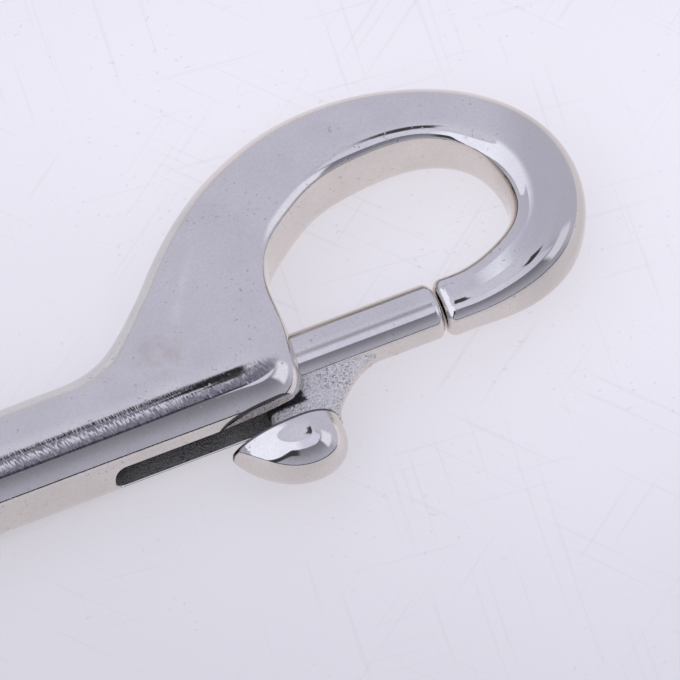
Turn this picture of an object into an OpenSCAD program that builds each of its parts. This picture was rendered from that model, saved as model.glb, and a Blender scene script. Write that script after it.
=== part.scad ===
// Swivel snap hook, cast and polished stainless steel.
// It lies flat, with its origin at the middle of the swivel eye. X runs along the barrel's axis
// towards the nose of the hook, Y towards the back of the hook and Z up.

/* [Barrel] */
// Height of the barrel as it lies
barrel_d = 15.9; // [14.4:0.1:18]
// How much flatter the barrel is on the side of the slot
barrel_flat = 0.3; // [0:0.1:1]
// Distance from the barrel's front face to its tail face
barrel_l = 52; // [51:0.5:60]
// Thickness of the tail wall that the swivel stem passes through
tail_wall = 4.5; // [3:0.25:6]
// Rounding of the barrel's front edge
front_round = 2.1; // [0.8:0.1:2.4]
// Rounding of the barrel's tail edge
tail_round = 2.4; // [1:0.1:3]

/* [Thumb slot] */
// Height of the slot that the lever slides in
slot_h = 4.6; // [4:0.1:5.4]
// Length of the slot from the barrel's front face to its round end
slot_l = 28.8; // [27.6:0.2:30]
// Rounding of the corners at the slot's closed end
slot_corner = 1; // [0.6:0.1:2]
// Depth of the bevel round the mouth of the slot
slot_bevel = 0.9; // [0.3:0.1:1.2]

/* [Hook] */
// Clear length of the opening, from the barrel's front face to the inside of the nose
opening_l = 36.2; // [32:0.2:40]
// Clear width of the opening, from the barrel's axis to the inside of the arm
opening_w = 22.4; // [20:0.2:26]
// Width of the web where the arm leaves the barrel
web_w = 18; // [15:0.2:20]
// Width of the arm at the middle of its back
arm_w = 12; // [10:0.1:13.5]
// Width of the nose
nose_w = 10.2; // [9:0.1:12]
// Thickness of the web
web_t = 15.4; // [13:0.1:15.8]
// Thickness of the arm at the middle of its back
arm_t = 12.6; // [10:0.1:13.8]
// Thickness of the nose
nose_t = 11; // [9.6:0.1:13]
// Width of the hook's tip, where the bolt meets it
tip_d = 7.7; // [7:0.1:9]

/* [Thumb bolt] */
// Diameter of the sliding bolt
bolt_d = 7.8; // [7:0.1:8.6]
// Gap between the bolt's end and the hook's tip
bolt_gap = 0.3; // [0.1:0.1:1]
// Length of the bolt that shows between the barrel and its end
bolt_reach = 20.8; // [18:0.2:23]
// How much further the bolt slides back than it shows
open_margin = 1.2; // [0:0.1:1.4]
// Length of the bolt's tail behind the lever, which guides it in the bore
guide_l = 6; // [4:0.5:7]
// Rounding of the bolt's front edge
bolt_round = 1.1; // [0.4:0.1:1.6]
// Length of the lever's neck where it passes the slot
neck_l = 8.6; // [8:0.2:9.8]
// Radius of the hollow between the bolt and the lever's neck
neck_fillet = 10.2; // [8:0.2:10.6]

/* [Thumb pad] */
// Length of the teardrop pad
pad_l = 15.6; // [14:0.2:18]
// Greatest height of the pad
pad_h = 11; // [9:0.2:13.5]
// Greatest depth of the pad
pad_depth = 6.8; // [4.5:0.1:7.2]
// Gap between the barrel and the back of the pad
pad_gap = 2.9; // [1.8:0.1:3.4]

/* [Swivel eye] */
// Inside diameter of the eye
eye_d = 16; // [14:0.5:20]
// Thickness of the eye's round bar
eye_bar = 5.4; // [4.5:0.1:6.5]
// Depth cut from the inside of the bar by the eye's flat bore
eye_land = 0.3; // [0.2:0.05:0.6]
// Diameter of the swivel stem
stem_d = 5.6; // [5:0.1:6]
// Diameter of the collar that bears on the barrel's tail
collar_d = 9.6; // [8.5:0.1:11]
// Thickness of the collar between the eye and the barrel's tail
collar_t = 1.8; // [1.2:0.1:3]
// Thickness of the stem's riveted head
head_t = 1.6; // [1.2:0.1:2.4]
// Thickness of the washer under the riveted head
washer_t = 0.8; // [0.5:0.1:1.2]

/* [Spring] */
// Diameter of the spring wire
wire_d = 0.8; // [0.6:0.05:0.9]
// Number of turns
spring_turns = 9; // [7:1:10]

/* [Fits] */
// Radial clearance of the bolt in its bore
bolt_clear = 0.08; // [0.05:0.01:0.1]
// Radial clearance of the stem in the tail wall and the washer
stem_clear = 0.08; // [0.05:0.01:0.1]
// Clearance of the lever in the slot, on each side
lever_clear = 0.3; // [0.2:0.05:0.5]
// End play of the swivel stem
end_play = 0.15; // [0.1:0.05:0.3]

/* [Hidden] */
$fn = 64;
steel = [0.76, 0.76, 0.78];
spring_steel = [0.55, 0.56, 0.58];
eps = 0.01;

// Places along the barrel's axis, from the middle of the eye towards the nose
eye_mid_r = eye_d / 2 - eye_land + eye_bar / 2;
eye_front_x = eye_mid_r + eye_bar / 2 - 0.6;
collar_x = eye_front_x + collar_t;
tail_x = collar_x + end_play;
front_x = tail_x + barrel_l;
bore_r = bolt_d / 2 + bolt_clear;
bore_end_x = tail_x + tail_wall;
slot_end_x = front_x - slot_l;
lever_t = slot_h - 2 * lever_clear;

// The bolt in its closed place, its lever, and the hook's tip that its end closes on
bolt_r = bolt_d / 2;
bolt_end_x = front_x + bolt_reach;
bolt_travel = bolt_reach + open_margin;
neck_back_x = slot_end_x + lever_clear + bolt_travel;
neck_front_x = neck_back_x + neck_l;
bolt_back_x = neck_back_x - guide_l;
barrel_near = barrel_d / 2 - barrel_flat;
pad_back_y = -barrel_near - pad_gap;
tip_x = bolt_end_x + bolt_gap;

// The riveted stem and its washer
stem_r = stem_d / 2;
head_r = bore_r - stem_clear;
washer_x = bore_end_x;
head_x = washer_x + washer_t + end_play;
spring_x = head_x + head_t;

// Sections of the hook from the barrel to the tip. Each row is the inner edge as shares of the
// opening's length and width, the direction from the inner to the outer edge, the section's width,
// its thickness, and how square its inner and outer edge are.
sections = [
    [-0.109, -0.134, 158.6, web_w * 1.55, web_t * 0.96, 4.4, 2.1],
    [-0.007, -0.022, 159, web_w * 1.5, web_t * 0.98, 4.6, 2.1],
    [0.011, 0.127, 157.4, web_w * 1.32, web_t, 4.6, 2.1],
    [0.009, 0.395, 147, web_w, web_t, 4.6, 2.1],
    [0.061, 0.619, 132, (web_w + arm_w) / 2, web_t, 4.6, 2.2],
    [0.197, 0.816, 121, (web_w + 2 * arm_w) / 3, (2 * web_t + arm_t) / 3, 4.2, 2.3],
    [0.358, 0.962, 103, arm_w * 1.03, (web_t + 2 * arm_t) / 3, 3.8, 2.3],
    [0.572, 1.025, 88, (arm_w + nose_w) / 2, arm_t, 3.4, 2.4],
    [0.770, 1.007, 76, nose_w * 0.95, (arm_t + nose_t) / 2, 3, 2.4],
    [0.908, 0.889, 56, nose_w * 0.96, nose_t * 0.98, 2.8, 2.4],
    [0.981, 0.691, 24, nose_w * 1.04, nose_t * 0.97, 2.8, 2.5],
    [0.994, 0.493, -10, nose_w * 1.04, nose_t, 3, 2.6],
    [0.952, 0.316, -48, nose_w * 0.97, nose_t * 0.96, 3.2, 2.8],
    [0.846, 0.208, -76, nose_w * 0.86, nose_t * 0.85, 3.2, 3]
];
samples_per_section = 4;
section_points = 28;
tip_power = 2.8;
tip_drop = 0.4;
tip_edge = 1.3;
tip_rings = 4;

function inner_point(row) = [front_x + row[0] * opening_l, row[1] * opening_w];
function outer_point(row) = inner_point(row) + row[3] * [cos(row[2]), sin(row[2])];
function station(row) = concat(inner_point(row), outer_point(row), [row[4], row[5], row[6]]);
function tip_station(x) =
    [x, tip_d / 2 - tip_drop, x, -tip_d / 2 - tip_drop, tip_d * 0.94, tip_power, tip_power];
stations = concat(
    [for (row = sections) station(row)],
    [tip_station(tip_x + opening_l * 0.11), tip_station(tip_x + tip_edge)]
);

// A smooth curve through the stations
function curve(a, b, c, d, t) =
    0.5 * (2 * b + (c - a) * t + (2 * a - 5 * b + 4 * c - d) * t * t + (3 * b - a - 3 * c + d) * t * t * t);
function at(list, i) = list[max(0, min(len(list) - 1, i))];
function smooth(list) = concat(
    [for (i = [0:len(list) - 2], k = [0:samples_per_section - 1])
        curve(at(list, i - 1), list[i], list[i + 1], at(list, i + 2), k / samples_per_section)],
    [list[len(list) - 1]]
);

// One rounded section between its inner and outer edge
function rounded(v, p) = sign(v) * pow(abs(v), 2 / p);
function ring_points(s, inset = 0, shift = 0) =
    let (inner = [s[0], s[1]], outer = [s[2], s[3]])
    let (middle = (inner + outer) / 2, across = (outer - inner) / 2)
    let (half = norm(across), unit = across / half)
    let (a = half - inset, b = s[4] / 2 - inset)
    [for (k = [0:section_points - 1])
        let (phi = 360 * k / section_points, c = cos(phi), p = c < 0 ? s[5] : s[6])
        let (place = middle + unit * a * rounded(c, p))
        [place[0] - shift, place[1], b * rounded(sin(phi), p)]];

// A closed solid through rings of points, each ring turning right-handed along the way
module loft(rings) {
    n = len(rings[0]);
    last = len(rings) - 1;
    sides = [for (i = [0:last - 1], k = [0:n - 1])
        [i * n + k, (i + 1) * n + k, (i + 1) * n + (k + 1) % n, i * n + (k + 1) % n]];
    caps = [[for (k = [0:n - 1]) k], [for (k = [n - 1:-1:0]) last * n + k]];
    polyhedron(points = [for (ring = rings) each ring], faces = concat(sides, caps), convexity = 8);
}

// A solid turned round the barrel's axis from a profile of [x, radius]
module turned(profile) {
    rotate([0, 90, 0]) rotate_extrude() polygon([for (p = profile) [p[1], p[0]]]);
}

// A plain bar on the barrel's axis
module bar(x0, x1, r) {
    translate([x0, 0, 0]) rotate([0, 90, 0]) cylinder(h = x1 - x0, r = r);
}

// Points of a quarter round from one direction to another
function quarter(x, r, radius, from, to, steps = 6) =
    [for (k = [0:steps]) let (phi = from + (to - from) * k / steps) [x + radius * cos(phi), r + radius * sin(phi)]];

// One outline of the barrel, round at the back and flatter on the side of the slot
barrel_points = 48;
flat_power = 2.1;
function barrel_ring(x, inset) =
    [for (k = [0:barrel_points - 1])
        let (phi = 360 * k / barrel_points, near = cos(phi) < 0, p = near ? flat_power : 2)
        [x, ((near ? barrel_near : barrel_d / 2) - inset) * rounded(cos(phi), p),
            (barrel_d / 2 - inset) * rounded(sin(phi), p)]];
function edge(radius, from, to, x, steps = 6) =
    [for (k = [0:steps]) let (phi = from + (to - from) * k / steps)
        barrel_ring(x + radius * cos(phi), radius * (1 - sin(phi)))];

module barrel_solid() {
    loft(concat(
        edge(tail_round, 180, 90, tail_x + tail_round),
        edge(front_round, 90, 0, front_x - front_round)
    ));
}

module hook_arm() {
    path = smooth(stations);
    tip = stations[len(stations) - 1];
    tip_cap = [for (k = [1:tip_rings]) let (phi = 90 * k / tip_rings)
        ring_points(tip, tip_edge * (1 - cos(phi)), tip_edge * sin(phi))];
    loft(concat([for (s = path) ring_points(s)], tip_cap));
}

// The slot's outline at one depth, widened towards its mouth
corner_steps = 6;
function slot_ring(y, grow) =
    let (h = slot_h / 2 + grow, r = slot_corner + grow, x = slot_end_x - grow + r)
    concat(
        [[front_x + 1, y, -h], [front_x + 1, y, h]],
        [for (k = [0:corner_steps]) let (phi = 90 + 90 * k / corner_steps) [x + r * cos(phi), y, h - r + r * sin(phi)]],
        [for (k = [0:corner_steps]) let (phi = 180 + 90 * k / corner_steps) [x + r * cos(phi), y, r - h + r * sin(phi)]]
    );

module thumb_slot() {
    mouth_y = slot_bevel - barrel_near;
    loft([slot_ring(0, 0), slot_ring(mouth_y, 0), slot_ring(-barrel_d, mouth_y + barrel_d)]);
}

module hook_body() {
    color(steel) difference() {
        union() {
            barrel_solid();
            hook_arm();
        }
        bar(bore_end_x, front_x + opening_l / 3, bore_r);
        bar(tail_x - 1, bore_end_x + 1, stem_r + stem_clear);
        thumb_slot();
    }
}

// The lever's neck, round at its rear end like the slot, with a hollow in front
neck_end_y = pad_back_y - pad_depth / 5;
module neck() {
    middle_x = neck_back_x + lever_t / 2;
    translate([0, 0, -lever_t / 2]) linear_extrude(lever_t) neck_plan(middle_x);
    translate([middle_x, 0, 0]) rotate([90, 0, 0]) cylinder(h = -neck_end_y, d = lever_t);
}
module neck_plan(rear_x) {
    root_y = -bolt_r * 0.8;
    difference() {
        polygon([
            [rear_x, 0], [rear_x, neck_end_y], [neck_front_x, neck_end_y],
            [neck_front_x + neck_fillet, root_y], [neck_front_x + neck_fillet, 0]
        ]);
        translate([neck_front_x + neck_fillet, root_y - neck_fillet]) circle(r = neck_fillet, $fn = 96);
    }
}

// Sections of the teardrop pad, from the round front to the blunt point. Each is flat towards the
// barrel and domed on the side of the thumb.
pad_points = 28;
pad_front_x = neck_front_x - 0.1;
pad_widest = 0.35;
pad_shares = [0, 0.003, 0.012, 0.03, 0.06, 0.1, 0.16, 0.24, 0.33, 0.43, 0.53, 0.63, 0.72, 0.8, 0.87, 0.925, 0.965, 0.99, 1];
function pad_share(u, front, rear) =
    u < pad_widest ? pow(1 - pow(1 - u / pad_widest, 2), front)
    : pow(1 - pow((u - pad_widest) / (1 - pad_widest), 2.2), rear);
function pad_ring(u) =
    let (half_z = pad_h / 2 * max(pad_share(u, 0.55, 0.49), 0.03), depth = pad_depth * max(pad_share(u, 0.29, 0.94), 0.03))
    [for (k = [0:pad_points - 1])
        let (phi = 360 * k / pad_points, c = cos(phi), y = c < 0 ? depth * rounded(c, 2.2) : 0.06 * depth * c)
        [pad_front_x - u * pad_l, pad_back_y + y, -half_z * rounded(sin(phi), 2.2)]];

module pad_solid() {
    loft([for (u = pad_shares) pad_ring(u)]);
}

module thumb_bolt() {
    color(steel) union() {
        turned(concat(
            [[bolt_back_x, 0], [bolt_back_x, bolt_r - 0.4], [bolt_back_x + 0.4, bolt_r]],
            quarter(bolt_end_x - bolt_round, bolt_r - bolt_round, bolt_round, 90, 0),
            [[bolt_end_x, 0]]
        ));
        neck();
        pad_solid();
    }
}

// Compression spring between the stem's head and the bolt, with closed end turns
spring_mid_r = bore_r - 0.3 - wire_d / 2;
spring_l = bolt_back_x - spring_x;
turn_points = 18;
wire_points = 7;
module spring() {
    steps = spring_turns * turn_points;
    run = spring_l - wire_d;
    color(spring_steel) loft([for (i = [0:steps])
        let (turn = 360 * i / turn_points, x = spring_x + wire_d / 2 + run * coil_share(i / steps))
        [for (k = [0:wire_points - 1])
            let (phi = 360 * k / wire_points, r = spring_mid_r + wire_d / 2 * cos(phi))
            [x - wire_d / 2 * sin(phi), r * cos(turn), r * sin(turn)]]]);
}
// Share of the spring's length that is reached after a share of its turns: the end turns lie flatter
closed = 1 / spring_turns;
flat_rise = wire_d * 1.15 / (spring_l - wire_d);
function coil_share(u) =
    u < closed ? flat_rise * u / closed
    : u > 1 - closed ? 1 - flat_rise * (1 - u) / closed
    : flat_rise + (1 - 2 * flat_rise) * (u - closed) / (1 - 2 * closed);

module stem_washer() {
    color(steel) difference() {
        bar(washer_x, washer_x + washer_t, head_r);
        bar(washer_x - 1, washer_x + washer_t + 1, stem_r + stem_clear);
    }
}

module swivel_eye() {
    color(steel) union() {
        // Stem and riveted head
        bar(eye_front_x, head_x + eps, stem_r);
        turned([[head_x, 0], [head_x, head_r], [head_x + head_t * 0.5, head_r],
            [head_x + head_t, head_r - head_t * 0.5], [head_x + head_t, 0]]);
        // Collar
        turned([[eye_front_x - 1, 0], [eye_front_x - 1, stem_r + 0.4],
            [eye_front_x, collar_d / 2 - 0.5], [eye_front_x + 0.5, collar_d / 2],
            [collar_x - 0.3, collar_d / 2], [collar_x, collar_d / 2 - 0.3], [collar_x, 0]]);
        // Eye, a round bar with a narrow flat bore
        rotate_extrude($fn = 128) translate([eye_mid_r, 0]) intersection() {
            circle(d = eye_bar, $fn = 48);
            translate([-eye_bar / 2 + eye_land, -eye_bar]) square([eye_bar, 2 * eye_bar]);
        }
    }
}

hook_body();
thumb_bolt();
spring();
swivel_eye();
stem_washer();
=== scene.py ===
# %% [markdown]
# # A swivel snap hook in polished cast steel
# This file dresses a snap hook that was built to size in a CAD program. The hook is one casting:
# a barrel with a sliding bolt in it, and an arm that curves round from the barrel to a tip that the
# bolt closes on. A thumb pad draws the bolt back, and an eye swivels at the barrel's tail.
# Polished metal has almost no colour of its own. It shows the room, so the smoothness of the
# surface and the room round it matter more here than any paint would.

# %% Load the frame
import math
import bmesh
import bpy
import numpy as np
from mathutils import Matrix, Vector


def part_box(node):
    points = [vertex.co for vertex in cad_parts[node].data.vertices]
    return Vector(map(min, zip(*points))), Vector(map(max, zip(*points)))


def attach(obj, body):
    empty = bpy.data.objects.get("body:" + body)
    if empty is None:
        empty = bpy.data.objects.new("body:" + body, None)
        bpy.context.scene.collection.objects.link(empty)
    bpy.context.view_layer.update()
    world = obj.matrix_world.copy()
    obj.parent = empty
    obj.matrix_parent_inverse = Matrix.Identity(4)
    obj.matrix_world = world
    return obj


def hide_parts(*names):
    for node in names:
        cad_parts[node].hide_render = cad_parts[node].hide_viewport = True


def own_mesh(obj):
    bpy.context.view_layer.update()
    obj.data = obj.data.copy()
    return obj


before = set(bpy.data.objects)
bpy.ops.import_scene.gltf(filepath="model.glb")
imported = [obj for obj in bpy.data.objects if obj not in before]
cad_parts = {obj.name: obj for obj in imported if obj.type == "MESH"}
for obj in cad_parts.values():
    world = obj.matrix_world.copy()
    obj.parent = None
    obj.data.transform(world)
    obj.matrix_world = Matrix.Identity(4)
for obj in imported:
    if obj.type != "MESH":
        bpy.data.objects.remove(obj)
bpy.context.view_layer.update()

# %% [markdown]
# ## Sizes
# The CAD model's sizes are repeated here in millimetres, because the pieces below are fitted to it.
# Zero is the middle of the swivel eye, X runs along the barrel towards the nose, and Z is up.

# %% Sizes in millimetres
MM = 0.001
TAIL_X = 14.45
FRONT_X = 66.45
BARREL_R = 7.95
BARREL_NEAR = 7.65
BORE_R = 3.98
BORE_END_X = 18.95
STEM_HOLE_R = 2.88
SLOT_END_X = 37.65
SLOT_HALF = 2.3
BOLT_R = 3.9
BOLT_END_X = 87.25
BOLT_BACK_X = 53.95
NECK_BACK_X = 59.95
PAD_FRONT_X = 68.45
FLOOR_Z = -7.95
print("barrel from", TAIL_X, "to", FRONT_X, "and bolt to", BOLT_END_X)

# %% [markdown]
# ## The camera
# The photograph looks down on the hook at 60 degrees, from a little to the left of square. Its
# edges run parallel, so it was taken from far away through a long lens. The camera stands three
# metres off, and its focal length gives 7.42 pixels to the millimetre in a picture 680 wide.

# %% Camera
SENSOR = 36
PIXELS_PER_MM = 7.42
PICTURE = 680
DISTANCE = 3.0
AZIMUTH = 23.46
ELEVATION = 60
KNOWN_POINT = Vector((74.55, 0, 0))
KNOWN_PIXEL = (350.0, 341.7)


def camera_axes(azimuth, elevation):
    """The camera's own right, up and forward for these angles in degrees."""
    a, e = math.radians(azimuth), math.radians(elevation)
    right = Vector((math.cos(a), -math.sin(a), 0))
    away = Vector((math.sin(a), math.cos(a), 0))
    forward = away * math.cos(e) - Vector((0, 0, math.sin(e)))
    return right, right.cross(forward), forward


def into_scene(item):
    """Puts a new object into the scene."""
    bpy.context.scene.collection.objects.link(item)
    return item


right, up, forward = camera_axes(AZIMUTH, ELEVATION)
centre = KNOWN_POINT + right * ((PICTURE / 2 - KNOWN_PIXEL[0]) / PIXELS_PER_MM)
centre = centre - up * ((PICTURE / 2 - KNOWN_PIXEL[1]) / PIXELS_PER_MM)
camera_data = bpy.data.cameras.new("camera")
camera_data.lens = SENSOR * DISTANCE * 1000 * PIXELS_PER_MM / PICTURE
camera_data.clip_end = 30
camera = into_scene(bpy.data.objects.new("camera", camera_data))
camera.location = centre * MM - forward * DISTANCE
camera.rotation_euler = forward.to_track_quat("-Z", "Y").to_euler()
bpy.context.scene.camera = camera
print("lens", round(camera_data.lens), "mm at", DISTANCE, "m")

# %% [markdown]
# ## Helpers for lofted metal
# A casting such as this is easiest to describe by its cross-sections. A loft joins one ring of
# points to the next, and a cubic spline through the sections keeps the curvature even, which a
# mirror-like surface needs: the eye sees a kink in a reflection long before it sees one in a shape.

# %% Spline through sections
def spline(rows, samples):
    """Natural cubic spline through rows, sampled at even steps of the distance between them."""
    rows = np.asarray(rows, float)
    step = np.linalg.norm(np.diff(rows[:, :4], axis=0), axis=1) / 2
    knots = np.concatenate([[0], np.cumsum(step)])
    n = len(rows)
    h = np.diff(knots)
    system = np.eye(n)
    right_side = np.zeros((n, rows.shape[1]))
    for i in range(1, n - 1):
        system[i, i - 1:i + 2] = h[i - 1], 2 * (h[i - 1] + h[i]), h[i]
        right_side[i] = 6 * ((rows[i + 1] - rows[i]) / h[i] - (rows[i] - rows[i - 1]) / h[i - 1])
    bend = np.linalg.solve(system, right_side)
    t = np.linspace(knots[0], knots[-1], samples)
    i = np.clip(np.searchsorted(knots, t) - 1, 0, n - 2)
    a = (knots[i + 1] - t)[:, None]
    b = (t - knots[i])[:, None]
    w = h[i][:, None]
    curve = (bend[i] * a ** 3 + bend[i + 1] * b ** 3) / (6 * w)
    return curve + (rows[i] / w - bend[i] * w / 6) * a + (rows[i + 1] / w - bend[i + 1] * w / 6) * b


print("a straight run of three rows stays straight:", spline([(0, 0), (1, 1), (2, 2)], 3).tolist())

# %% [markdown]
# A section is a flattened oval whose inner and outer edges are squared off by a power each. Where
# the arm's inner edge was ground on the real hook, the oval gives way to a wall, a small fillet and
# a long slope.

# %% Sections
WALL_SHARE = 0.8
WALL_CROWN = 0.055
SLOPE_START = 0.895
SLOPE_DROP = 0.13
OVAL_POINTS = 600
INNER_POINTS = 200


def ground_edge(half_width, half_height):
    """An inner edge that was ground: a crowned wall, a small fillet and a long slope to the top."""
    rise = np.linspace(0, WALL_SHARE, 60)
    bulge = 1 - WALL_CROWN * (rise / WALL_SHARE) ** 2
    wall = np.column_stack([-half_width * bulge, half_height * rise])
    run = np.linspace(SLOPE_START, 0, 90)
    drop = 1 - SLOPE_DROP * (run / SLOPE_START) ** 5
    top = np.column_stack([-half_width * run, half_height * drop])
    across, along = wall[-1] - wall[-2], top[0] - top[1]
    share = np.linalg.solve(np.column_stack([across, -along]), top[0] - wall[-1])[0]
    corner = wall[-1] + across * share
    k = np.linspace(0, 1, 14)[1:-1, None]
    fillet = (1 - k) ** 2 * wall[-1] + 2 * k * (1 - k) * corner + k ** 2 * top[0]
    return np.concatenate([wall, fillet, top])


def even_points(line, measure, count):
    """Points of a line at even steps of a measure that grows along it."""
    even = np.linspace(0, measure[-1], count)
    return np.column_stack([np.interp(even, measure, line[:, i]) for i in (0, 1)])


def resampled(line, count):
    """The same line with evenly spaced points."""
    length = np.cumsum(np.linalg.norm(np.diff(line, axis=0), axis=1))
    return even_points(line, np.concatenate([[0], length]), count)


def spread(line, half_width, count):
    """Points spread along a line by its length and its turning."""
    step = np.diff(line, axis=0)
    turn = np.abs(np.diff(np.unwrap(np.arctan2(step[:, 1], step[:, 0]))))
    weight = np.linalg.norm(step, axis=1) / half_width + 0.4 * np.concatenate([[0], turn])
    return even_points(line, np.concatenate([[0], np.cumsum(weight)]), count)


def section(half_width, half_height, inner_power, outer_power, count, ground=0.0):
    """An even ring of (across, up) points: inner edge at -half_width, outer edge at +half_width."""
    angle = np.linspace(0, math.pi, OVAL_POINTS)
    c, s = -np.cos(angle), np.sin(angle)
    power = np.where(c < 0, inner_power, outer_power)
    across = half_width * np.sign(c) * np.abs(c) ** (2 / power)
    line = np.column_stack([across, half_height * s ** (2 / power)])
    below = spread(line, half_width, count // 2 + 1)
    if ground > 0.001:
        inner = resampled(line[c < 0], INNER_POINTS)
        sharp = resampled(ground_edge(half_width, half_height), INNER_POINTS)
        line = np.concatenate([inner * (1 - ground) + sharp * ground, line[c >= 0]])
    above = spread(line, half_width, count // 2 + 1)
    return (np.concatenate([above[:, 0], below[-2:0:-1, 0]]),
            np.concatenate([above[:, 1], -below[-2:0:-1, 1]]))


print("a section's ring has", len(section(5, 4, 3, 2, 64, 1.0)[0]), "points")

# %% [markdown]
# The points become meshes through a few short helpers. Each closed piece gets smooth shading that
# breaks at true edges, booleans are applied at once, and a turned piece is a loft round the axis.

# %% Meshes from points
SHARP_ANGLE = 35


def loft_faces(rings, around):
    """Quads between rings, and one face over each end."""
    k = np.arange(around)
    faces = []
    for i in range(rings - 1):
        a, b = i * around, (i + 1) * around
        faces += [(a + j, a + (j + 1) % around, b + (j + 1) % around, b + j) for j in k]
    faces.append(tuple(int(v) for v in k[::-1]))
    faces.append(tuple(int(v) for v in (rings - 1) * around + k))
    return faces


def outward(mesh):
    """Turns every face outwards."""
    work = bmesh.new()
    work.from_mesh(mesh)
    bmesh.ops.recalc_face_normals(work, faces=work.faces)
    work.to_mesh(mesh)
    work.free()


def smoothed(mesh, sharp_angle=SHARP_ANGLE):
    """Smooth shading, except across edges sharper than this angle in degrees."""
    mesh.shade_smooth()
    mesh.set_sharp_from_angle(angle=math.radians(sharp_angle))


def mesh_piece(name, points_mm, faces, sharp_angle=SHARP_ANGLE):
    """A new smooth piece from points in millimetres."""
    mesh = bpy.data.meshes.new(name)
    mesh.from_pydata((np.asarray(points_mm) * MM).tolist(), [], faces)
    outward(mesh)
    piece = into_scene(bpy.data.objects.new(name, mesh))
    smoothed(mesh, sharp_angle)
    return piece


def final_mesh(piece):
    """A new mesh of what a piece looks like after its modifiers."""
    evaluated = piece.evaluated_get(bpy.context.evaluated_depsgraph_get())
    return bpy.data.meshes.new_from_object(evaluated)


def cut(piece, cutters):
    """Cuts closed cutters out of a piece and throws the cutters away."""
    for cutter in cutters:
        step = piece.modifiers.new("cut", "BOOLEAN")
        step.operation = "DIFFERENCE"
        step.solver = "EXACT"
        step.material_mode = "TRANSFER"
        step.object = cutter
    mesh = final_mesh(piece)
    piece.modifiers.clear()
    piece.data = mesh
    smoothed(mesh)
    for cutter in cutters:
        bpy.data.objects.remove(cutter, do_unlink=True)


def turned(name, profile, around=96):
    """A closed piece turned round the barrel's axis from (x, radius) points, poles included."""
    angle = np.arange(around) * 2 * math.pi / around
    inner = profile[1:-1]
    points = [(x, r * math.cos(a), r * math.sin(a)) for x, r in inner for a in angle]
    return mesh_piece(name, points, loft_faces(len(inner), around))


def arc(x, r, radius, start, end, steps):
    """Points of a round about (x, r), as (x, radius), between two angles in degrees."""
    angles = np.radians(np.linspace(start, end, steps + 1))
    return [(x + radius * math.cos(a), r + radius * math.sin(a)) for a in angles]


def joined(name, parts):
    """Joins parts into the first one, material slots included."""
    with bpy.context.temp_override(active_object=parts[0], object=parts[0], selected_objects=parts,
                                   selected_editable_objects=parts):
        bpy.ops.object.join()
    parts[0].name = parts[0].data.name = name
    return parts[0]


print("mesh helpers ready, edges stay sharp from", SHARP_ANGLE, "degrees")

# %% [markdown]
# ## The hook's casting
# On the real hook the barrel, the web and the arm are one casting with no seam between them. It
# could be made as a barrel and an arm joined by a boolean, but the join would leave a crease. Here
# one loft runs from the barrel's tail to the hook's tip. Along the barrel its sections stand square,
# then they fan out round the front corner, and from the web on they follow the arm.
# Each row is the inner edge, the outer edge, the height, how square each edge is, and how far the
# inner edge was ground to a slope.

# %% Hook sections
def turned_section(x, y, angle, width, height, inner_power, outer_power, ground):
    """A row whose outer edge lies at this width and angle from its inner edge."""
    a = math.radians(angle)
    outer = x + width * math.cos(a), y + width * math.sin(a)
    return x, y, *outer, height, inner_power, outer_power, ground


barrel_rows = [(x, -BARREL_NEAR, x, BARREL_R, 15.9, 2.02, 2.0, 0) for x in (16.8, 22, 28)]
fan_rows = [
    (34.5, -7.65, 32.7, 7.97, 15.9, 2.02, 2.0, 0),
    (42, -7.65, 36.4, 8.08, 15.9, 2.02, 2.0, 0),
    (51, -7.65, 39.8, 8.8, 15.9, 2.05, 2.1, 0),
    (58.5, -7.62, 42.4, 10.0, 15.85, 2.15, 2.25, 0),
    (63.2, -7.0, 44.65, 11.55, 15.8, 2.4, 2.4, 0),
    (65.5, -4.8, 46.6, 13.15, 15.7, 2.9, 2.5, 0),
    (66.35, -1.3, 48.3, 14.7, 15.6, 3.5, 2.6, 0.1),
]
arm_rows = [
    (66.75, 2.85, 49.95, 16.25, 15.5, 4.2, 2.6, 0.3),
    (66.85, 8.6, 53.35, 19.8, 15.4, 4.4, 2.6, 0.6),
    turned_section(68.66, 13.87, 133, 14.7, 15.2, 4.4, 2.6, 0.9),
    turned_section(73.58, 18.28, 120, 13.55, 14.5, 4.0, 2.5, 1.0),
    turned_section(79.41, 21.55, 103, 12.2, 13.5, 3.6, 2.5, 1.0),
    turned_section(87.16, 22.96, 88, 10.95, 12.6, 3.4, 2.5, 1.0),
    turned_section(94.32, 22.56, 76, 9.65, 11.8, 3.0, 2.4, 1.0),
    turned_section(99.32, 19.91, 56, 9.8, 10.8, 2.8, 2.3, 0.75),
    turned_section(101.96, 15.48, 24, 10.6, 10.7, 2.8, 2.4, 0.2),
    turned_section(102.43, 11.04, -10, 10.6, 11.0, 3.0, 2.5, 0.0),
    turned_section(100.91, 7.08, -48, 9.9, 10.6, 3.2, 2.5, 0.0),
    turned_section(97.08, 4.66, -76, 8.8, 9.35, 3.2, 2.4, 0.0),
    turned_section(91.53, 3.45, -90, 7.7, 7.3, 2.8, 2.3, 0.0),
    turned_section(88.95, 3.45, -90, 7.7, 7.3, 2.8, 2.3, 0.0),
]
sections = spline(barrel_rows + fan_rows + arm_rows, 330)
print("sections", len(sections))

# %% [markdown]
# Each section becomes a ring of points. Both ends of the loft look towards the tail, the barrel's
# and the arm's, because the arm turns right round. Each is rounded over by a few smaller rings.

# %% Hook casting
AROUND = 112
TAIL_ROUND = 2.35
TIP_ROUND = 1.4


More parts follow.
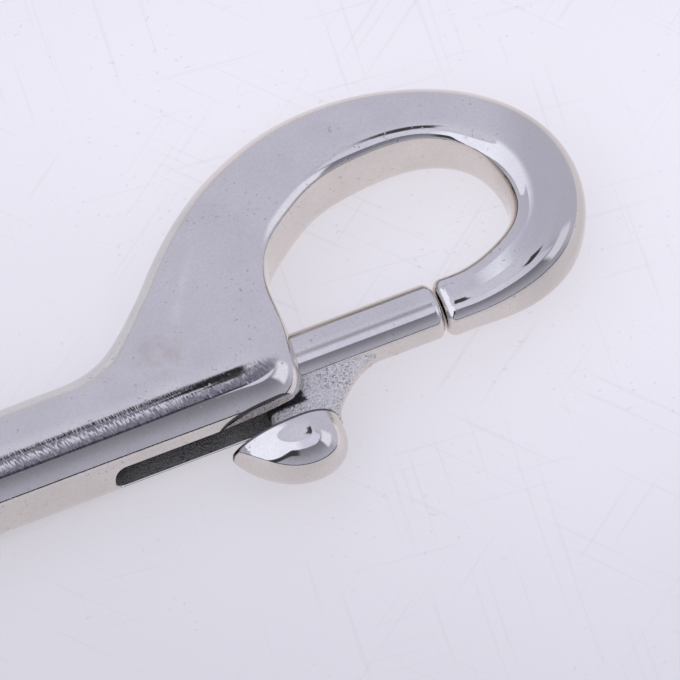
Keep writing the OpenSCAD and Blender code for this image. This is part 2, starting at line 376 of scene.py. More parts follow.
def ring(row, inset=0.0, shift=0.0):
    """The points of one row, drawn in by an inset and shifted along X."""
    inner, outer = row[0:2], row[2:4]
    middle, across = (inner + outer) / 2, (outer - inner) / 2
    half = np.linalg.norm(across)
    ground = min(max(row[7], 0), 1)
    u, v = section(half - inset, row[4] / 2 - inset, row[5], row[6], AROUND, ground)
    plan = middle + np.outer(u / half, across)
    return np.column_stack([plan[:, 0] + shift, plan[:, 1], v])


def rounded_end(row, radius):
    """Rings that round an end over, from the section out to its flat face."""
    angles = np.radians(np.linspace(0, 90, 9))[1:]
    return [ring(row, radius * (1 - math.cos(a)), -radius * math.sin(a)) for a in angles]


rings = rounded_end(sections[0], TAIL_ROUND)[::-1] + [ring(s) for s in sections]
rings += rounded_end(sections[-1], TIP_ROUND)
casting = mesh_piece("hook_casting", np.concatenate(rings), loft_faces(len(rings), AROUND))
print("casting before cutting:", len(casting.data.polygons), "faces")

# %% [markdown]
# The bore and the thumb slot are cut out of the loft. Both cutters flare where they leave the
# metal, which gives the edges the small rounding that a file or a tumbling barrel leaves.

# %% Bore cutter
mouth = [(65.75, 0), (66.15, 0.12), (66.5, 0.45), (67.2, 1.4), (70, 1.4)]
bore = turned("bore_cutter", [
    (12, 0), (12, STEM_HOLE_R + 1.2), (TAIL_X - 0.1, STEM_HOLE_R + 0.55),
    (TAIL_X + 0.4, STEM_HOLE_R), (BORE_END_X, STEM_HOLE_R), (BORE_END_X, BORE_R),
] + [(x, BORE_R + flare) for x, flare in mouth] + [(70, 0)])
print("bore cutter", len(bore.data.polygons), "faces")

# %% Slot cutter
CORNER_R = 1.0
WIDENS_X = 51.5
WIDENS_OVER = 15
WIDENS_POWER = 1.2
opening_xs = (74, 70, 67, 65, 62, 59, 56, 53.5, WIDENS_X)
# Each level is its depth in Y, its half width, and how much wider it gets at the open end.
levels = [
    (0, 2.5, 0), (-4.4, 2.5, 0), (-5.6, 2.5, 0.1), (-6.4, 2.5, 0.25), (-6.95, 2.5, 0.95),
    (-7.08, 2.53, 1.05), (-7.2, 2.6, 1.1), (-9.5, 4.9, 1.2),
]


def slot_outline(half, widening):
    """The slot in X and Z: nearly square at its closed end, widening towards its open end."""
    radius = CORNER_R + half - SLOT_HALF
    corner_x = SLOT_END_X - (half - SLOT_HALF) + radius
    angles = np.linspace(0, math.pi / 2, 9)
    closed = [(corner_x - radius * math.sin(a), half - radius + radius * math.cos(a)) for a in angles]
    share = [((x - WIDENS_X) / WIDENS_OVER) ** WIDENS_POWER for x in opening_xs]
    upper = [(x, half + widening * s) for x, s in zip(opening_xs, share)] + closed
    return upper + [(x, -z) for x, z in upper[::-1]]


slot_points = [(x, y, z) for y, half, widening in levels for x, z in slot_outline(half, widening)]
slot_faces = loft_faces(len(levels), len(slot_points) // len(levels))
slot = mesh_piece("slot_cutter", slot_points, slot_faces)
print("slot cutter", len(slot.data.polygons), "faces")

# %% [markdown]
# ## The thumb bolt
# The bolt is a turned bar. Its lever is a cast neck as thick as the slot lets it be, with a deep
# hollow in front, and it carries a teardrop pad: flat towards the barrel and domed where the thumb
# pushes. Each is a loft of its own, and they are joined into one piece.

# %% Bolt bar
BACK_ROUND = 0.4
END_ROUND = 1.15
bar = turned("bolt_bar", [(BOLT_BACK_X, 0), (BOLT_BACK_X, 3.4)]
             + arc(BOLT_BACK_X + BACK_ROUND, BOLT_R - BACK_ROUND, BACK_ROUND, 180, 90, 4)
             + [(x, BOLT_R) for x in np.linspace(56, 85, 20)]
             + arc(BOLT_END_X - END_ROUND, BOLT_R - END_ROUND, END_ROUND, 90, 0, 12)
             + [(BOLT_END_X, 0.05), (BOLT_END_X, 0)], around=128)
print("bolt bar", len(bar.data.polygons), "faces")

# %% Lever neck
NECK_HALF = 1.9
NECK_POWERS = (5.5, 3.4)
NECK_AROUND = 64
front_line = spline([
    (80.2, -2.4), (78.35, -3.3), (74.65, -4.7), (71.05, -7.3), (69.2, -9.5), (68.4, -12.2),
], 80)
neck_rings = []
for y in np.linspace(-2.4, -11.4, 40):
    front = np.interp(-y, -front_line[:, 1], front_line[:, 0])
    u, v = section((front - NECK_BACK_X) / 2, NECK_HALF, *NECK_POWERS, NECK_AROUND)
    across = (front + NECK_BACK_X) / 2 + u
    neck_rings.append(np.column_stack([across, np.full(NECK_AROUND, y), v]))
neck = mesh_piece("neck", np.concatenate(neck_rings), loft_faces(len(neck_rings), NECK_AROUND))
print("neck", len(neck.data.polygons), "faces")

# %% Thumb pad
PAD_LENGTH = 15.6
PAD_HALF_Z = 5.45
PAD_DEPTH = 6.8
PAD_EDGE = 0.45
PAD_BACK_Y = -10.55
PAD_WIDEST = 0.35
PAD_AROUND = 96
DOME_POWER = 2.15
BACK_POWER = 3.2
LEAST_SHARE = 0.03


def pad_share(u, front, rear):
    """Share of the full size at a share u of the length, with how blunt the front and rear are."""
    if u < PAD_WIDEST:
        return max(1 - (1 - u / PAD_WIDEST) ** 2, 0) ** front
    return max(1 - ((u - PAD_WIDEST) / (1 - PAD_WIDEST)) ** 2.2, 0) ** rear


pad_rings = []
pad_angle = np.linspace(0, 2 * math.pi, PAD_AROUND, endpoint=False)
for share in 0.5 - 0.5 * np.cos(np.linspace(0.02, math.pi - 0.02, 90)):
    half_z = PAD_HALF_Z * max(pad_share(share, 0.55, 0.55), LEAST_SHARE)
    depth = PAD_DEPTH * max(pad_share(share, 0.29, 0.94), LEAST_SHARE)
    back = min(PAD_EDGE, half_z * 0.5)
    rise, out = np.cos(pad_angle), np.sin(pad_angle)
    power = np.where(out < 0, DOME_POWER, BACK_POWER)
    x = np.full(PAD_AROUND, PAD_FRONT_X - share * PAD_LENGTH)
    y = np.where(out < 0, -depth, back) * np.abs(out) ** (2 / power)
    z = half_z * np.sign(rise) * np.abs(rise) ** (2 / power)
    pad_rings.append(np.column_stack([x, PAD_BACK_Y + y, z]))
pad = mesh_piece("pad", np.concatenate(pad_rings), loft_faces(len(pad_rings), PAD_AROUND), 50)
print("pad", len(pad.data.polygons), "faces")

# %% [markdown]
# ## Finishes
# Shader maths reads best as plain sums, so one small class wraps a socket and lets Python's own
# signs add Math nodes. Colours go through Mix nodes, because a Math node would turn them grey.

# %% Shader maths
class Socket:
    """A node's output, with Python's signs standing for Math nodes."""

    def __init__(self, tree, out):
        self.tree = tree
        self.out = out

    def node(self, kind, settings=None, values=None, output=0):
        """Adds a node with these settings and input values, and returns one output."""
        made = self.tree.nodes.new(kind)
        for key, value in (settings or {}).items():
            setattr(made, key, value)
        for key, value in (values or {}).items():
            if isinstance(value, Socket):
                self.tree.links.new(value.out, made.inputs[key])
            else:
                made.inputs[key].default_value = value
        return Socket(self.tree, made.outputs[output])

    def math(self, operation, a, b=0.0):
        """Adds a Math node on two values or sockets."""
        return self.node("ShaderNodeMath", {"operation": operation}, {0: a, 1: b})

    def __add__(self, other):
        return self.math("ADD", self, other)

    def __sub__(self, other):
        return self.math("SUBTRACT", self, other)

    def __mul__(self, other):
        return self.math("MULTIPLY", self, other)

    def __rsub__(self, other):
        return self.math("SUBTRACT", other, self)

    __radd__ = __add__
    __rmul__ = __mul__

    def step(self, low, high, to_low=0.0, to_high=1.0):
        """A smooth step from low to high."""
        return self.node("ShaderNodeMapRange", {"interpolation_type": "SMOOTHSTEP"}, {
            "Value": self, "From Min": low, "From Max": high, "To Min": to_low, "To Max": to_high,
        })

    def band(self, low, low_end, high, high_end):
        """1 between a smooth step up and a smooth step down, and 0 outside them."""
        return self.step(low, low_end) * (1 - self.step(high, high_end))

    def noise(self, scale, detail=2.0, rough=0.5):
        """Noise at this many waves to the metre, with this as its vector."""
        return self.node("ShaderNodeTexNoise", {"noise_dimensions": "3D"},
                         {"Vector": self, "Scale": scale, "Detail": detail, "Roughness": rough})

    def stretch(self, x, y, z):
        """The vector with each axis multiplied."""
        return self.node("ShaderNodeVectorMath", {"operation": "MULTIPLY"}, {0: self, 1: (x, y, z)})

    def axes(self):
        """The vector's X, Y and Z."""
        made = self.node("ShaderNodeSeparateXYZ", {}, {0: self}).out.node
        return [Socket(self.tree, out) for out in made.outputs]

    def mix(self, a, b):
        """Colour a where this is 0 and b where it is 1."""
        return self.node("ShaderNodeMix", {"data_type": "RGBA"}, {0: self, 6: a, 7: b}, 2)


def new_material(name):
    """A material, its Principled node and its Object coordinates."""
    material = bpy.data.materials.new(name)
    material.use_nodes = True
    tree = material.node_tree
    shader = tree.nodes["Principled BSDF"]
    place = Socket(tree, tree.nodes.new("ShaderNodeTexCoord").outputs["Object"])
    return material, shader, place


def feed(shader, name, value):
    """Links or sets one input of the shader."""
    if isinstance(value, Socket):
        value.tree.links.new(value.out, shader.inputs[name])
    else:
        shader.inputs[name].default_value = value


def shade(colour, amount=1.0):
    """A colour made lighter or darker by an amount, with its alpha."""
    return tuple(c * amount for c in colour) + (1,)


print("shader maths ready, and half of a grey is", shade((0.5, 0.5, 0.5), 0.5))

# %% [markdown]
# The casting was ground and then polished, so broad faces shine. Two narrow dark bands along the
# barrel are painted reflections of dark strips in the room, and fine strokes of the belt cross them
# as bumps and streak their painted darkness. The nose is painted a little darker, as painted shade,
# and there is a faint brown stain on the web. All sizes here are in metres.

# %% Belt bumps, painted dark bands and painted nose shade
HAIR_ALONG = 3300
HAIR_ACROSS = 420
HAIR_SLANT = 0.39
HAIR_DEPTH = 0.000032
BARREL_ENDS = (0.060, 0.0645)
BARREL_SIDE = (-0.0022, -0.0012)
# A band is where it fades in and where it fades out, by the height above the barrel's middle.
UPPER_BUMPS = (0.00745, 0.0076, 0.0077, 0.0079)
LOWER_BUMPS = (0.0065, 0.0067, 0.00712, 0.0073)
# The two painted bands darken the colour as painted reflections of dark strips in the room.
LOWER_PAINTED_BAND = (0.0065, 0.0068, 0.00712, 0.00732)
UPPER_PAINTED_BAND = (0.00732, 0.00742, 0.0076, 0.0077)
RAGGED_EDGE = 0.0026
UPPER_BAND_WANDER = 0.0011
NOSE_PAINTED_SHADE = (0.0955, 0.1035)
STAIN_CENTRE = (0.0484, 0.0041)
STAIN_SPREAD = 60000
STEEL = (0.72, 0.69, 0.655)
PAINTED_STREAK_COLOUR = (0.20, 0.19, 0.20, 1)
PAINTED_BAND_COLOUR = (0.075, 0.071, 0.085, 1)
STAIN_COLOUR = (0.50, 0.40, 0.30, 1)


def belt_bumps_and_painted_shade(place, base, rough, height):
    """Adds grinding bumps, painted dark bands, painted nose shade and the stain to a polished
    casting.
    """
    x, y, z = place.axes()
    slanted = (x + y * HAIR_SLANT) * HAIR_ALONG
    strands = {0: slanted, 1: y * HAIR_ACROSS, 2: z * HAIR_ACROSS}
    hair = place.node("ShaderNodeCombineXYZ", {}, strands).noise(1.0, 2.0, 0.65)
    # The casting is the same above and below its middle, so marks go by the distance from it.
    z = z.math("ABSOLUTE", z)
    on_barrel = (1 - x.step(*BARREL_ENDS)) * (1 - y.step(*BARREL_SIDE))
    bumps = hair * (z.band(*UPPER_BUMPS) + z.band(*LOWER_BUMPS)) * on_barrel
    height = height + bumps * HAIR_DEPTH
    ragged = z - (hair - 0.5) * RAGGED_EDGE
    # Painted reflections: the two dark bands along the barrel, streaked by the same noise.
    painted_low_band = z.step(0.00650, 0.00657) * (1 - ragged.step(0.00704, 0.00712)) * on_barrel
    upper_band_z = z - (hair - 0.5) * UPPER_BAND_WANDER
    painted_bands = painted_low_band * (0.8 + 0.2 * hair.step(0.35, 0.6, 1.0, 0.0))
    painted_bands = painted_bands + upper_band_z.band(*UPPER_PAINTED_BAND) * on_barrel * 0.8
    # Painted shade: the nose is painted darker.
    base = ((x - y * 0.35).step(*NOSE_PAINTED_SHADE) * 0.55).mix(base, shade(STEEL, 0.68))
    painted_streaks = z.band(*LOWER_PAINTED_BAND) * on_barrel
    base = (painted_streaks * hair.step(0.42, 0.50, 0.80, 0.0)).mix(base, PAINTED_STREAK_COLOUR)
    base = (painted_bands * 0.95).mix(base, PAINTED_BAND_COLOUR)
    from_x, from_y = x - STAIN_CENTRE[0], y - STAIN_CENTRE[1]
    stain = (from_x * from_x + from_y * from_y) * STAIN_SPREAD
    stain = (1 - stain.step(0.1, 1.3)) * place.noise(420, 3).step(0.35, 0.7) * 0.4
    base = stain.mix(base, STAIN_COLOUR)
    rough = rough + 0.04 * painted_low_band + 0.10 * (z.step(0.0056, 0.0066) * y.step(-0.0005, 0.0025))
    return base, rough, height


print("bands from", round(LOWER_BUMPS[0] / MM, 2), "to", round(UPPER_BUMPS[-1] / MM, 2), "mm up")

# %% [markdown]
# Every polished piece shares one steel with a faint cloudy tone, a fine grain and a few casting
# pores left as dark pits. The bolt has a dull line that its sliding wore along it, and the pad has
# a dark line of painted shade where its polished dome meets its back.

# %% Polished steel
PIT_SIZE = (0.645, 0.69)
PIT_PATCHES = (0.48, 0.62)
WAVE_DEPTH = 0.000006
GRAIN_DEPTH = 0.0000014
PIT_DEPTH = 0.00001
WORN_LINE = (0.00352, 0.00366, 0.00382, 0.00388)
CREASE_Y = -0.01055
CREASE_PAINTED_SHADE = (0.05, 0.05, 0.055, 1)


def polished_steel(name, belt_and_painted_shade=False, roughness=0.03, painted_edge_shade=False, worn=0.0):
    """Bright steel. Grinding marks with painted bands, the pad's painted edge shade and the bolt's
    worn line are optional.
    """
    material, shader, place = new_material(name)
    x, y, z = place.axes()
    grain = place.noise(2600, 3, 0.6)
    pit = place.noise(1500, 2, 0.55).step(*PIT_SIZE) * place.noise(190, 2).step(*PIT_PATCHES)
    base = place.noise(160, 3).step(0.35, 0.75).mix(shade(STEEL), shade(STEEL, 0.94))
    base = (grain.step(0.35, 0.72) * 0.14).mix(base, shade(STEEL, 0.5))
    base = (pit * 0.6).mix(base, shade(STEEL, 0.5))
    rough = roughness + 0.04 * grain.step(0.4, 0.8) + 0.2 * pit
    height = place.noise(330, 1.0) * WAVE_DEPTH + grain * GRAIN_DEPTH - pit * PIT_DEPTH
    if belt_and_painted_shade:
        base, rough, height = belt_bumps_and_painted_shade(place, base, rough, height)
    if worn:
        rough = rough + worn * z.band(*WORN_LINE)
    # Painted shade: a dark line along the pad's back edge.
    if painted_edge_shade:
        line = y.band(CREASE_Y - 0.00028, CREASE_Y - 0.0001, CREASE_Y + 0.00036, CREASE_Y + 0.0004)
        base = (line * 0.9).mix(base, CREASE_PAINTED_SHADE)
        rough = rough + 0.2 * line
    feed(shader, "Base Color", base)
    feed(shader, "Metallic", 1.0)
    feed(shader, "Roughness", rough)
    # The height is in metres, and the Bump node's distance turns it back from millimetres.
    bump = {"Height": height * 1000, "Distance": MM, "Strength": 1.0}
    feed(shader, "Normal", height.node("ShaderNodeBump", {}, bump))
    return material


steel = polished_steel("polished_steel", belt_and_painted_shade=True)
bolt_steel = polished_steel("bolt_steel", roughness=0.06, worn=0.16)
pad_steel = polished_steel("pad_steel", roughness=0.04, painted_edge_shade=True)
eye_steel = polished_steel("eye_steel")
print("polished:", [m.name for m in (steel, bolt_steel, pad_steel, eye_steel)])

# %% [markdown]
# The lever's neck is too hard to reach with a wheel, so it stays as it was cast: grainy, duller and
# full of small pores, with a painted shadow where it passes under the barrel's front. The walls of
# the slot are painted darker still, as painted shade, because hardly any light comes out of them.

# %% As-cast steel
CAST_COLOUR = (0.70, 0.68, 0.66)
PORE_COLOUR = (0.12, 0.11, 0.11)
NECK_SHADOW_COLOUR = (0.02, 0.02, 0.02, 1)
NECK_SHADOW_X = (0.0648, 0.0655)
NECK_SHADOW_Y = (-0.0073, -0.0069, -0.0054, -0.0050)


def cast_steel(name, tint=1.0, coarse=1.0, metal=1.0, painted_shadow=False):
    """Steel as it came from the mould, lighter or darker by the tint."""
    material, shader, place = new_material(name)
    grain = place.noise(2600, 4, 0.7)
    pores = place.noise(3300, 2, 0.6)
    hole = pores.step(0.57, 0.66) * place.noise(240, 2).step(0.38, 0.6)
    base = (grain.step(0.4, 0.7) * 0.22).mix(shade(CAST_COLOUR, tint), shade(PORE_COLOUR, tint))
    base = (hole * 0.85).mix(base, shade(PORE_COLOUR, tint))
    if painted_shadow:
        # Painted shadow on the neck where the barrel overhangs it.
        x, y, z = place.axes()
        edge = x + (pores - 0.5) * 0.0016
        shadowed = (1 - edge.step(*NECK_SHADOW_X)) * y.band(*NECK_SHADOW_Y)
        base = (shadowed * 0.96).mix(base, NECK_SHADOW_COLOUR)
    feed(shader, "Base Color", base)
    feed(shader, "Metallic", metal)
    feed(shader, "Roughness", 0.24 + 0.25 * grain.step(0.4, 0.7))
    height = grain * (0.22 * coarse) - hole * (0.12 * coarse)
    feed(shader, "Normal", height.node("ShaderNodeBump", {}, {"Height": height, "Distance": MM}))
    return material


rough_steel = cast_steel("cast_steel", 1.26, 1.9, painted_shadow=True)
# Painted shade: the walls of the bore and the slot get a much darker colour.
inside_steel = cast_steel("inside_steel", 0.25, 2.2, metal=0.0)
washer_steel = cast_steel("washer_steel", 0.9)
print("as cast:", [m.name for m in (rough_steel, inside_steel, washer_steel)])

# %% [markdown]
# The cutters bring the as-cast finish with them, and the walls that they cut keep it. Only the
# bevelled lip round the slot's mouth was polished with the barrel, so its faces go back to the
# bright steel. The pad's back faces the barrel and stays as cast.

# %% Finish the casting and the bolt
LIP_Y = -0.00696
PAD_CAST_Y = PAD_BACK_Y * MM + 0.0004


def finish_with(piece, *materials):
    """Gives a piece these materials instead of its own."""
    piece.data.materials.clear()
    for material in materials:
        piece.data.materials.append(material)


finish_with(casting, steel)
finish_with(bore, inside_steel)
finish_with(slot, inside_steel)
cut(casting, [bore, slot])
for face in casting.data.polygons:
    if face.material_index and face.center.y < LIP_Y:
        face.material_index = 0
print("casting:", len(casting.data.polygons), "faces", [m.name for m in casting.data.materials])
finish_with(bar, bolt_steel)
finish_with(neck, rough_steel)
finish_with(pad, pad_steel, rough_steel)
for face in pad.data.polygons:
    if face.center.y > PAD_CAST_Y:
        face.material_index = 1
bolt = joined("thumb_bolt_dressed", [bar, neck, pad])
print("bolt:", len(bolt.data.polygons), "faces, materials", [m.name for m in bolt.data.materials])

# %% [markdown]
# ## The spring
# The spring sits in the bore behind the bolt. It repeats a rule, a wire swept along a helix, so
# Geometry Nodes make it: a spiral curve, a round profile swept along it, and its finish at the end.

# %% Spring by Geometry Nodes
WIRE_R = 0.0004
SPRING_SIZES = (("Turns", 9.0), ("Radius", 0.00328), ("Length", 0.0317), ("Wire radius", WIRE_R))


def spring_tree():
    """A node group that makes a compression spring along Z."""
    tree = bpy.data.node_groups.new("compression_spring", "GeometryNodeTree")
    face = tree.interface
    face.new_socket(name="Geometry", in_out="INPUT", socket_type="NodeSocketGeometry")
    for name, value in SPRING_SIZES:
        made = face.new_socket(name=name, in_out="INPUT", socket_type="NodeSocketFloat")
        made.default_value = value
    face.new_socket(name="Finish", in_out="INPUT", socket_type="NodeSocketMaterial")
    face.new_socket(name="Geometry", in_out="OUTPUT", socket_type="NodeSocketGeometry")
    nodes, link = tree.nodes, tree.links.new
    given = nodes.new("NodeGroupInput")
    spiral = nodes.new("GeometryNodeCurveSpiral")
    spiral.inputs["Resolution"].default_value = 40
    link(given.outputs["Turns"], spiral.inputs["Rotations"])
    link(given.outputs["Radius"], spiral.inputs["Start Radius"])
    link(given.outputs["Radius"], spiral.inputs["End Radius"])
    link(given.outputs["Length"], spiral.inputs["Height"])
    wire = nodes.new("GeometryNodeCurvePrimitiveCircle")
    wire.inputs["Resolution"].default_value = 14
    link(given.outputs["Wire radius"], wire.inputs["Radius"])
    sweep = nodes.new("GeometryNodeCurveToMesh")
    sweep.inputs["Fill Caps"].default_value = True
    link(spiral.outputs["Curve"], sweep.inputs["Curve"])
    link(wire.outputs["Curve"], sweep.inputs["Profile Curve"])
    real = nodes.new("GeometryNodeRealizeInstances")
    link(sweep.outputs["Mesh"], real.inputs["Geometry"])
    coat = nodes.new("GeometryNodeSetMaterial")
    link(real.outputs["Geometry"], coat.inputs["Geometry"])
    link(given.outputs["Finish"], coat.inputs["Material"])
    out = nodes.new("NodeGroupOutput")
    link(coat.outputs["Geometry"], out.inputs["Geometry"])
    return tree


tree = spring_tree()
print("spring group has", len(tree.nodes), "nodes")

# %% [markdown]
# Drawn wire is duller and a little darker than the polished casting. The node group's result is
# turned into a plain mesh, and its Z becomes the barrel's X.

# %% Spring
spring_steel, spring_shader, spring_place = new_material("spring_steel")
wire_tone = spring_place.noise(900, 2).step(0.3, 0.7)
feed(spring_shader, "Base Color", wire_tone.mix((0.42, 0.41, 0.42, 1), (0.52, 0.51, 0.53, 1)))
feed(spring_shader, "Metallic", 1.0)
feed(spring_shader, "Roughness", 0.22 + 0.12 * spring_place.noise(2500, 2))
spring_low, spring_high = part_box("spring")
length = spring_high[0] - spring_low[0]
seed = into_scene(bpy.data.objects.new("seed", bpy.data.meshes.new("seed")))
modifier = seed.modifiers.new("spring", "NODES")
modifier.node_group = tree
names = {item.name: item.identifier for item in tree.interface.items_tree if item.in_out == "INPUT"}
modifier[names["Length"]] = length - 2 * WIRE_R
modifier[names["Finish"]] = spring_steel
bpy.context.view_layer.update()
coil = final_mesh(seed)
place = np.empty(len(coil.vertices) * 3, np.float32)
coil.vertices.foreach_get("co", place)
place = place.reshape(-1, 3)
place = np.column_stack([place[:, 2] + spring_low[0] + WIRE_R, place[:, 0], place[:, 1]])
coil.vertices.foreach_set("co", place.ravel())
coil.update()
bpy.data.objects.remove(seed, do_unlink=True)
coil.shade_smooth()
spring = into_scene(bpy.data.objects.new("spring_coil", coil))
print("spring", len(coil.polygons), "faces over", round(length * 1000, 1), "mm")

# %% [markdown]
# ## The swivel eye
# The eye is a ring of round bar with a narrow flat bore, on a short turned stem. The stem passes
# through the barrel's tail, and its end is riveted over a washer inside, so that the eye turns
# freely and can't pull out. A ring section turned about the eye's own axis, and a profile turned
# about the barrel's, give the two parts, and they are joined into one piece.

# %% Eye ring
EYE_R = 8.0
EYE_MIDDLE_R = 10.4
EYE_BAR_R = 2.7
EYE_STEPS = 144
start = math.acos((EYE_R - EYE_MIDDLE_R) / EYE_BAR_R)
angle = np.linspace(-start, start, 60)
bar_side = np.column_stack([EYE_MIDDLE_R + EYE_BAR_R * np.cos(angle), EYE_BAR_R * np.sin(angle)])
bore_side = np.linspace(bar_side[-1, 1], bar_side[0, 1], 7)[1:-1]
bar_section = np.concatenate([bar_side, np.column_stack([np.full(5, EYE_R), bore_side])])
turns = np.arange(EYE_STEPS) * 2 * math.pi / EYE_STEPS
eye_points = [(r * math.cos(a), r * math.sin(a), z) for a in turns for r, z in bar_section]
eye_faces = []
count = len(bar_section)
for i in range(EYE_STEPS):
    a, b = i * count, (i + 1) % EYE_STEPS * count
    for j in range(count):
        after = (j + 1) % count
        eye_faces.append((a + j, a + after, b + after, b + j))
eye_ring = mesh_piece("eye_ring", eye_points, eye_faces, 30)
print("eye ring", len(eye_faces), "faces")

# %% Eye stem and the whole eye
STEM_R = 2.8
HEAD_X = 19.9
HEAD_R = 3.9
collar = ([(11.5, 0), (11.5, 3.2), (12.1, 3.6), (12.45, 4.2)] + arc(13.0, 4.3, 0.5, 160, 90, 6)
          + [(13.95, 4.8)] + arc(13.95, 4.45, 0.35, 90, 0, 5))
rivet = [(14.3, STEM_R), (HEAD_X, STEM_R), (HEAD_X, HEAD_R), (20.6, HEAD_R)]
rivet += arc(20.7, 3.1, 0.8, 90, 0, 8) + [(21.5, 0)]
stem = turned("eye_stem", collar + rivet)
for part in (eye_ring, stem):
    finish_with(part, eye_steel)
eye = joined("swivel_eye_dressed", [eye_ring, stem])
low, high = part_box("swivel_eye")
eye_end = max(v.co.x for v in eye.data.vertices)
print("eye ends at", round(eye_end * 1000, 1), "mm and its solid at", round(high[0] * 1000, 1))

# %% [markdown]
# The washer's solid already has the right shape, so it only gets a duller pressed finish.

# %% Washer
finish_with(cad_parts["stem_washer"], washer_steel)
print("washer finished")

# %% [markdown]
# ## The floor
# The hook lies on a pale acrylic sheet with a few fine scratches. The floor's own colour keeps the
# hook's shadow. Its glow is shown only to the camera, to reflections and through glass, so the
# background is pale and the metal mirrors it, while the floor throws no light on the hook.

# %% Floor
FLOOR_HALF = 4
FLOOR_AWAY = (0.398, 0.917)
FLOOR_LEVEL = 0.352
FAR_PAINTED_LIGHT = 0.185
SIDE_PAINTED_LIGHT = 0.04
CLOUD_LEVEL = 0.03
SCRATCH_TURNS = ((0.1, 0.47), (0.9, 0.45), (1.7, 0.43), (2.5, 0.46))
SEEN_TONE = (1.0, 0.975, 1.06, 1)
GLOSSY_TONE = (1.07, 1.0, 1.045, 1)
BEHIND_PAINTED_SHADE = (0.86, 0.86, 0.93, 1)
FLOOR_DARK = (0.26, 0.25, 0.25, 1)
FLOOR_PALE = (0.28, 0.27, 0.27, 1)


def scratches(place):
    """Fine scratches in four directions, each in patches of its own."""
    total = 0.0
    for turn, patch in SCRATCH_TURNS:
        line = place.node("ShaderNodeVectorRotate", {"rotation_type": "Z_AXIS"},
                          {"Vector": place, "Angle": turn})
        thin = line.stretch(20, 1300, 1).noise(1.0, 2).step(0.63, 0.68)
        total = total + thin * line.noise(36, 1).step(patch, patch + 0.1)
    return total


def floor_material():
    """Pale acrylic, whose glow is for the camera and for reflections alone."""
    material, shader, place = new_material("floor")
    x, y, z = place.axes()
    away = x * FLOOR_AWAY[0] + y * FLOOR_AWAY[1]
    across = x * FLOOR_AWAY[1] - y * FLOOR_AWAY[0]
    cloud = place.noise(14, 2)
    # Painted light: the glow is brighter beyond the hook and towards one side, and dims again far
    # off.
    level = FLOOR_LEVEL + FAR_PAINTED_LIGHT * away.step(-0.05, 0.075)
    level = level + SIDE_PAINTED_LIGHT * across.step(-0.02, 0.13) + CLOUD_LEVEL * cloud
    level = level * away.step(0.075, 0.22, 1.03, 0.66)
    speck = place.noise(1300, 1).step(0.71, 0.75) * place.noise(60, 1).step(0.5, 0.6)
    level = level * (0.975 - 0.06 * scratches(place) - 0.14 * speck)
    rays = place.node("ShaderNodeLightPath").out.node.outputs
    names = ("Is Camera Ray", "Is Glossy Ray", "Is Transmission Ray")
    camera_ray, glossy_ray, glass_ray = (Socket(place.tree, rays[name]) for name in names)
    shown = camera_ray.math("MINIMUM", camera_ray + glossy_ray + glass_ray, 1.0)
    # Painted reflection: reflections see the sheet in a slightly redder tone.
    tone = glossy_ray.mix(SEEN_TONE, GLOSSY_TONE)
    # Behind the barrel the metal mirrors a duller tone of the sheet, painted shade seen only in
    # reflections.
    shaded_behind = glossy_ray * y.step(0.008, 0.014) * (1 - x.step(0.055, 0.07))
    tone = shaded_behind.mix(tone, BEHIND_PAINTED_SHADE)
    feed(shader, "Base Color", cloud.step(0.2, 0.8).mix(FLOOR_DARK, FLOOR_PALE))
    feed(shader, "Roughness", 0.5)
    feed(shader, "Emission Color", (level * shown).mix((0, 0, 0, 1), tone))
    feed(shader, "Emission Strength", 1.0)
    return material


floor_mesh = bpy.data.meshes.new("floor")
sides = ((-1, -1), (1, -1), (1, 1), (-1, 1))
corners = [(x * FLOOR_HALF, y * FLOOR_HALF, FLOOR_Z * MM) for x, y in sides]
floor_mesh.from_pydata(corners, [], [(0, 1, 2, 3)])
floor = into_scene(bpy.data.objects.new("floor", floor_mesh))
finish_with(floor, floor_material())
print("floor at", FLOOR_Z, "mm")

# %% [markdown]
# ## The room
# Polished steel is drawn by what stands round it. The world shader is a plain studio in degrees of
# height and turn: grey walls, a bright panel that goes round the near side and both ends, a dark
# shelf under it and a narrow dark strip near the ceiling, which the rounded edges show as lines.

# %% Directions in the room
world = bpy.data.worlds.new("studio")
bpy.context.scene.world = world
world.use_nodes = True
tree = world.node_tree
direction = Socket(tree, tree.nodes.new("ShaderNodeTexCoord").outputs["Generated"])
x, y, z = direction.axes()
DEGREES = 180 / math.pi
elevation = z.math("ARCSINE", z) * DEGREES
turn = y.math("ARCTAN2", y, x) * DEGREES
near_side = (x * -FLOOR_AWAY[0] + y * -FLOOR_AWAY[1]).step(-0.2, 0.3)


def between(value, low, high, soft):
    """1 between low and high, with soft edges."""
    return value.band(low - soft, low + soft, high - soft, high + soft)


print("room is measured in degrees of height and turn")

# %% Room
FAR_WALL = ((0.685, 0.69, 0.86, 1), (0.685, 0.695, 0.875, 1))
CEILING = (0.78, 0.79, 0.96, 1)
NEAR_WALL = ((0.50, 0.515, 0.64, 1), (0.25, 0.255, 0.31, 1))
PANEL = ((1.15, 1.19, 1.42, 1), (0.84, 0.85, 1.07, 1))
SHELF = (0.06, 0.06, 0.07, 1)
LIT_SIDE = (1.0, 1.02, 1.2, 1)
STRIP = (0.07, 0.07, 0.08, 1)
BELOW = (0.70, 0.68, 0.70, 1)
SKIRTING = (0.02, 0.02, 0.022, 1)
# The walls
far_wall = elevation.step(0, 60).mix(*FAR_WALL)
ceiling = elevation.step(60, 82).mix(far_wall, CEILING)
near_wall = elevation.step(4, 50).mix(*NEAR_WALL)
room = (near_side * (1 - elevation.step(60, 64))).mix(ceiling, near_wall)
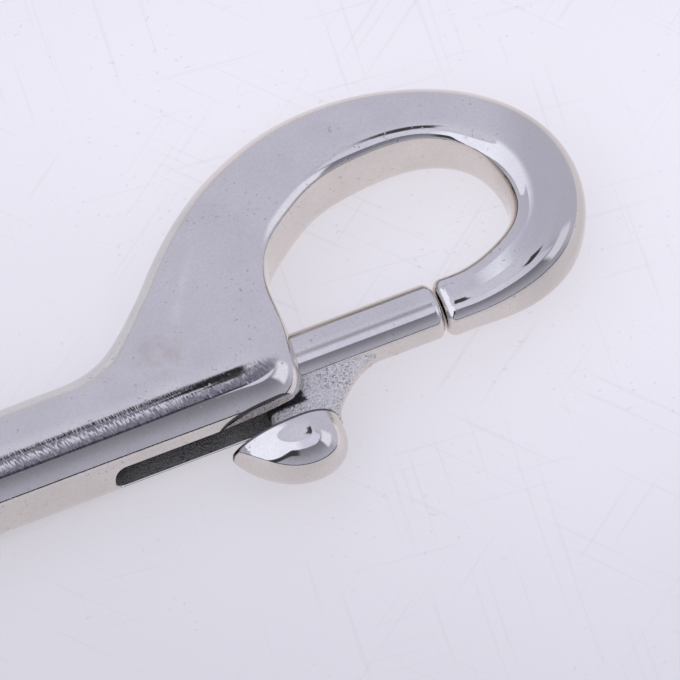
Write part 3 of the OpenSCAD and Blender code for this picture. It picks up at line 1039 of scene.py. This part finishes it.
# The bright panel, with a lower edge that rises and falls as it goes round
panel = between(turn, -98, 60, 12).mix(*PANEL)
low_edge = turn.step(-150, -112, -2, 50.5) + turn.step(118, 136, 0, -30)
low_edge = low_edge + turn.step(-176, -152, 18.5, 0)
around = turn.step(86, 122) + (1 - turn.step(-30, -18))
above = elevation - low_edge
room = (above.step(-0.9, 0.9) * (1 - elevation.step(70.5, 72.3)) * around).mix(room, panel)
# The shelf under the panel, a lit stretch of wall and the strip near the ceiling
shelf = above.band(-19, -16, -2.0, -0.9) * between(turn, -160, -102, 5)
room = shelf.mix(room, SHELF)
lit_side = between(elevation, 20, 47, 4) * between(turn, -44, -8, 4)
room = lit_side.mix(room, LIT_SIDE)
strip = between(elevation, 72.4, 79.8, 0.9) * between(turn, -46, 14, 8)
room = strip.mix(room, STRIP)
# What lies below the horizon, and the dark line along it
room = (1 - elevation.step(-0.6, -0.2)).mix(room, BELOW)
room = (between(elevation, -0.2, 2.4, 0.3) * near_side).mix(room, SKIRTING)
background = tree.nodes["Background"]
tree.links.new(room.out, background.inputs["Color"])
background.inputs["Strength"].default_value = 1.0
print("room has", len(tree.nodes), "nodes")

# %% [markdown]
# ## The lamps
# Two softboxes shape the shadow on the floor. The metal already mirrors the bright panel of the
# room, so the lamps are hidden from reflections, or the panel would show twice.

# %% Lamps
LAMP_DISTANCE = 2.0
LAMP_WIDTH = 1.6


def soft_lamp(name, azimuth, elevation, height, radiance):
    """A rectangular softbox of this radiance, which neither the camera nor the metal sees."""
    data = bpy.data.lights.new(name, "AREA")
    data.shape = "RECTANGLE"
    data.size, data.size_y = LAMP_WIDTH, height
    data.energy = radiance * math.pi * LAMP_WIDTH * height
    lamp = into_scene(bpy.data.objects.new(name, data))
    a, e = math.radians(azimuth), math.radians(elevation)
    towards = Vector((math.cos(a) * math.cos(e), math.sin(a) * math.cos(e), math.sin(e)))
    lamp.location = towards * LAMP_DISTANCE
    lamp.rotation_euler = (-towards).to_track_quat("-Z", "Y").to_euler()
    lamp.visible_camera = False
    lamp.visible_glossy = False


soft_lamp("softbox", -64, 61, 0.76, 0.9)
soft_lamp("side_softbox", -140, 48, 0.9, 1.25)
bpy.context.scene.view_settings.view_transform = "Standard"
print("lamps and view ready")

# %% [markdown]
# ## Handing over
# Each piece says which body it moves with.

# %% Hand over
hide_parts("hook_body")
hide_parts("thumb_bolt")
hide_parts("spring")
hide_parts("swivel_eye")
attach(casting, "hook")
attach(spring, "hook")
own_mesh(spring)
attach(bolt, "bolt")
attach(eye, "eye")
